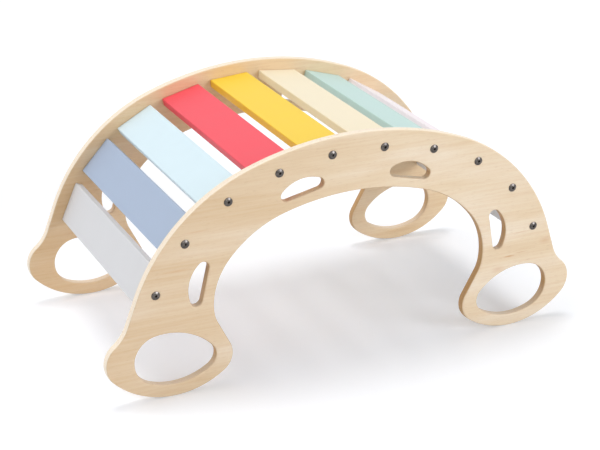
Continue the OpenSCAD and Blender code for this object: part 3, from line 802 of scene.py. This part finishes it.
def plywoodMaterial():
    w = plywood
    material, tree = newMaterial("lacqueredBirchPlywood")
    coords = addNode(tree, "TexCoord")
    place = addNode(tree, "SeparateXYZ", None, {0: coords.outputs["Object"]})
    normal = addNode(tree, "SeparateXYZ", None, {0: coords.outputs["Normal"]})

    # Which ply, counted outwards from the inner face, and how near the next glue line, in plies
    depth = addNode(tree, "Math", {"operation": "ABSOLUTE"}, {0: place.outputs["Y"]})
    ply = addNode(tree, "MapRange", {
        "From Min": panel["innerFace"], "From Max": panel["outerFace"],
        "To Min": w["faceSanded"], "To Max": w["plies"] - w["faceSanded"],
    }, {"Value": depth})
    number = addNode(tree, "Math", {"operation": "FLOOR"}, {0: ply})
    crossed = addNode(tree, "Math", {"operation": "MODULO", 1: 2}, {0: number})
    toGlue = addNode(tree, "Math", {"operation": "PINGPONG", 1: 0.5}, {0: ply})
    glue = addNode(tree, "MapRange", {"From Max": w["glueLine"], "To Min": 1, "To Max": 0}, {"Value": toGlue})

    # Along the grain, a sheet's own number, and across the grain
    side = addNode(tree, "Math", {"operation": "SIGN"}, {0: place.outputs["Y"]})
    sheet = addNode(tree, "Math", {"operation": "MULTIPLY_ADD", 1: w["sheetStep"]}, {0: number, 2: side})
    x, z = place.outputs["X"], place.outputs["Z"]
    alongX = addNode(tree, "CombineXYZ", None, {0: x, 1: sheet, 2: z})
    alongZ = addNode(tree, "CombineXYZ", None, {0: z, 1: sheet, 2: x})
    grain = addNode(tree, "Mix", {"data_type": "VECTOR"}, {0: crossed, 4: alongX, 5: alongZ})

    # Figure, and the fibres and pores that wave along it
    noises = {}
    source = grain
    for layer, (length, width, detail) in w["layers"].items():
        drawn = addNode(tree, "Mapping", {"Scale": (1 / length, 1, 1 / width)}, {"Vector": source})
        style = {"Scale": 1, "Detail": detail, "Distortion": w["distortion"]}
        noises[layer] = addNode(tree, "TexNoise", style, {"Vector": drawn})
        if layer == "figure":
            waved = addNode(tree, "VectorMath", {"operation": "MULTIPLY_ADD", 1: (0, 0, w["wave"])},
                            {0: noises[layer].outputs["Color"], 2: source})
            source = waved
    figure = addNode(tree, "ValToRGB", {"stops": w["figureTones"]}, {0: noises["figure"]})
    fibres = addNode(tree, "ValToRGB", {"stops": w["fibreTones"]}, {0: noises["fibre"]})
    figure = addNode(tree, "Mix", {"data_type": "RGBA", "blend_type": "MULTIPLY", 0: w["fibreStrength"]},
                     {6: figure, 7: fibres})

    # The inner faces are painted more golden, as painted shade and warm bounce light between the panels, and
    # both panels darken a little towards the left
    innerShadeShare = addNode(tree, "MapRange", w["innerShadeRange"], {"Value": ply})
    leftward = addNode(tree, "MapRange", {"From Min": w["darkFrom"], "From Max": lowest[0]}, {"Value": x})
    for tone, share in (("innerShadeTone", innerShadeShare), ("darkEnd", leftward)):
        figure = addNode(tree, "Mix", {"data_type": "RGBA", "blend_type": "MULTIPLY", 7: linear(w[tone])},
                         {0: share, 6: figure})

    # Edges: end grain where the ply's own grain runs out of the surface
    endward = addNode(tree, "Mix", None, {0: crossed, 2: normal.outputs["X"], 3: normal.outputs["Z"]})
    endward = addNode(tree, "Math", {"operation": "MULTIPLY"}, {0: endward, 1: endward})
    edge = addNode(tree, "Mix", {"data_type": "RGBA", 6: linear(w["longGrain"]), 7: linear(w["endGrain"])},
                   {0: endward})
    glued = addNode(tree, "Mix", {"data_type": "RGBA", 7: linear(w["glue"])}, {0: glue, 6: edge})
    # Painted shade: the hole walls and the inner arch edges are darkened by the amount that each edge carries
    toasted = addNode(tree, "Attribute", {"attribute_name": "toasted"})
    glued = addNode(tree, "Mix", {"data_type": "RGBA", "blend_type": "MULTIPLY", 7: linear(w["edgeShadeTone"])},
                    {0: toasted.outputs["Fac"], 6: glued})
    facing = addNode(tree, "Math", {"operation": "ABSOLUTE"}, {0: normal.outputs["Y"]})
    edgeward = addNode(tree, "MapRange", w["edgeRange"], {"Value": facing})
    wood = addNode(tree, "Mix", {"data_type": "RGBA"}, {0: edgeward, 6: figure, 7: glued})
    pores = addNode(tree, "MapRange", w["poreRange"], {"Value": noises["pore"]})
    wood = addNode(tree, "Mix", {"data_type": "RGBA", 7: linear(w["poreTone"])}, {0: pores, 6: wood})

    # A few mineral streaks on the front face: place in X and Z, half length, half height and strength
    streaked = None
    for streakX, streakZ, halfLength, halfHeight, strength in w["streaks"]:
        shape = addNode(tree, "Mapping", {
            "vector_type": "TEXTURE", "Location": (streakX, -panel["outerFace"], streakZ),
            "Scale": (halfLength, w["streakDepth"], halfHeight),
        }, {"Vector": coords.outputs["Object"]})
        ball = addNode(tree, "TexGradient", {"gradient_type": "SPHERICAL"}, {0: shape})
        spot = addNode(tree, "Math", {"operation": "MULTIPLY", 1: strength}, {0: ball.outputs["Fac"]})
        if streaked:
            spot = addNode(tree, "Math", {"operation": "MAXIMUM"}, {0: streaked, 1: spot})
        streaked = spot
    wood = addNode(tree, "Mix", {"data_type": "RGBA", 7: linear(w["streakTone"])}, {0: streaked, 6: wood})

    roughness = addNode(tree, "MapRange", {"To Min": w["roughness"][0], "To Max": w["roughness"][1]},
                        {"Value": noises["fibre"]})
    relief = addNode(tree, "Math", {"operation": "SUBTRACT"}, {0: noises["fibre"], 1: pores})
    bump = addNode(tree, "Bump", {"Strength": w["reliefStrength"], "Distance": w["relief"]},
                   {"Height": relief})
    lacquer = addNode(tree, "BsdfPrincipled", w["lacquer"],
                      {"Base Color": wood, "Roughness": roughness, "Normal": bump})
    addNode(tree, "OutputMaterial", None, {"Surface": lacquer})
    return material


# Satin paint, sprayed on sanded boards: one even colour with a faint cloudiness, an orange peel of about
# 1.5 mm, and the board's long grain just showing through
paint = {
    "colours": {
        "white_paint": "#dcdcde", "periwinkle_paint": "#abbbd3", "ice_blue_paint": "#def2fa",
        "red_paint": "#f84f5f", "yellow_paint": "#fad336", "cream_paint": "#f6e9cb",
        "mint_paint": "#c1ddd7", "blush_paint": "#f5eaec",
    },
    "clouds": 0.03, "cloudiness": 0.02, "peel": 0.0015, "peelDepth": 0.00002,
    "grain": (0.25, 0.004), "grainDepth": 0.00004, "reliefStrength": 0.5,
    "detail": 3, "peelDetail": 1, "roughness": (0.38, 0.48), "film": {"IOR": 1.5},
}


def paintMaterial(slot):
    w = paint
    material, tree = newMaterial("satin_" + slot)
    place = addNode(tree, "TexCoord").outputs["Object"]
    clouds = addNode(tree, "TexNoise", {"Scale": 1 / w["clouds"], "Detail": w["detail"]}, {"Vector": place})
    value = addNode(tree, "MapRange", {"To Min": 1 - w["cloudiness"], "To Max": 1 + w["cloudiness"]},
                    {"Value": clouds})
    colour = addNode(tree, "HueSaturation", {"Color": linear(w["colours"][slot])}, {"Value": value})
    roughness = addNode(tree, "MapRange", {"To Min": w["roughness"][0], "To Max": w["roughness"][1]},
                        {"Value": clouds})
    length, width = w["grain"]
    board = addNode(tree, "Mapping", {"Scale": (1 / width, 1 / length, 1 / width)}, {"Vector": place})
    grain = addNode(tree, "TexNoise", {"Scale": 1, "Detail": w["detail"]}, {"Vector": board})
    grainBump = addNode(tree, "Bump", {"Strength": w["reliefStrength"], "Distance": w["grainDepth"]},
                        {"Height": grain})
    peel = addNode(tree, "TexNoise", {"Scale": 1 / w["peel"], "Detail": w["peelDetail"]}, {"Vector": place})
    peelBump = addNode(tree, "Bump", {"Strength": w["reliefStrength"], "Distance": w["peelDepth"]},
                       {"Height": peel, "Normal": grainBump})
    film = addNode(tree, "BsdfPrincipled", w["film"],
                   {"Base Color": colour, "Roughness": roughness, "Normal": peelBump})
    addNode(tree, "OutputMaterial", None, {"Surface": film})
    return material


# Plain wood and plated metal. Each is a tone that runs between two colours over streaks of a given
# length along Y and width, in metres, with a roughness that runs between two values. All share how
# the streaks are drawn: their detail, where the two tones stand on them, and their relief.
streakStyle = {"detail": 3, "stops": (0.3, 0.7), "relief": 0.00003, "strength": 0.3}
finishes = {
    # Beech rod, planed and fluted: short dark flecks along the rod, dry and matt
    "fluted_beech": {"tones": ("#c79d6c", "#e2c396"), "streak": (0.008, 0.0006), "roughness": (0.6, 0.72)},
    # Birch freshly bored: pale, slightly fuzzy, a little darker in the pores
    "bored_birch": {"tones": ("#c9a674", "#ead0a4"), "streak": (0.010, 0.0008), "roughness": (0.75, 0.85)},
    # Steel plated in black nickel: a dark mirror, a little uneven from handling
    "black_nickel_steel": {"tones": ("#4a4644", "#6e6863"), "streak": (0.004, 0.004), "roughness": (0.1, 0.2),
                           "metallic": 1.0},
    # Steel plated in zinc, blue passivated: a pale dull shine with a soft mottle
    "zinc_plated_steel": {"tones": ("#9fa5ab", "#c3c7ca"), "streak": (0.002, 0.002), "roughness": (0.3, 0.42),
                          "metallic": 1.0},
}


def finishMaterial(name):
    w, style = finishes[name], streakStyle
    material, tree = newMaterial(name)
    place = addNode(tree, "TexCoord").outputs["Object"]
    length, width = w["streak"]
    drawn = addNode(tree, "Mapping", {"Scale": (1 / width, 1 / length, 1 / width)}, {"Vector": place})
    streaks = addNode(tree, "TexNoise", {"Scale": 1, "Detail": style["detail"]}, {"Vector": drawn})
    tones = addNode(tree, "ValToRGB", {"stops": list(zip(style["stops"], w["tones"]))}, {0: streaks})
    roughness = addNode(tree, "MapRange", {"To Min": w["roughness"][0], "To Max": w["roughness"][1]},
                        {"Value": streaks})
    bump = addNode(tree, "Bump", {"Strength": style["strength"], "Distance": style["relief"]},
                   {"Height": streaks})
    surface = addNode(tree, "BsdfPrincipled", {"Metallic": w.get("metallic", 0.0)},
                      {"Base Color": tones, "Roughness": roughness, "Normal": bump})
    addNode(tree, "OutputMaterial", None, {"Surface": surface})
    return material


makeCamera()
for name, lamp in light["lamps"].items():
    makeLamp(name, lamp)
makeRoom()
print("camera, lamps and room made")

panelMaterial = plywoodMaterial()
panelParts = panelSurfaces()
for name, side in (("front", -1), ("rear", 1)):
    surfaces = placed(panelParts, np.diag([1, -side, 1]), (0, side * panel["outerFace"], 0))
    makePiece("plywood_panel_" + name, surfaces, [panelMaterial], "birch_plywood", "side_panel_" + name)
print("side panels made")

paints = {slot: paintMaterial(slot) for slot in paint["colours"]}
boredWood = finishMaterial("bored_birch")
slatParts = slatSurfaces()
for number, (slot, (x, z, tilt)) in enumerate(zip(slat["paints"], places), 1):
    surfaces = placed(slatParts, slatTurn(tilt), (x, 0, z))
    makePiece(f"painted_slat_{number}", surfaces, [paints[slot], boredWood], slot, f"slat_{number}")
print("slats made")

boltMetal, nutMetal, dowelWood = (finishMaterial(name) for name in
                                  ("black_nickel_steel", "zinc_plated_steel", "fluted_beech"))
boltParts = boltSurfaces()
boltPair = placed(boltParts, np.eye(3), (0, panel["outerFace"], 0))
boltPair += placed(boltParts, np.diag([-1, -1, 1]), (0, -panel["outerFace"], 0))
dowelParts = dowelSurfaces()
dowelFrom = panel["innerFace"] + dowel["inPanel"] - dowel["length"]
dowelSet = []
for across in (-dowel["out"], dowel["out"]):
    dowelSet += placed(dowelParts, np.eye(3), (across, dowelFrom, 0))
    dowelSet += placed(dowelParts, np.diag([1, -1, 1]), (across, -dowelFrom, 0))
for number, (x, z, tilt) in enumerate(places, 1):
    makePiece(f"bolt_pair_{number}", placed(boltPair, slatTurn(tilt), (x, 0, z)), [boltMetal],
              "black_nickel_steel", f"bolts_{number}")
    makePiece(f"fluted_dowels_{number}", placed(dowelSet, slatTurn(tilt), (x, 0, z)), [dowelWood],
              "beech_dowel", f"dowels_{number}")
    for materialSlot in bpy.data.objects[f"barrel_nuts_{number}"].material_slots:
        materialSlot.material = nutMetal
print("bolts, barrel nuts and dowels made")

bpy.context.scene.view_settings.view_transform = "Standard"
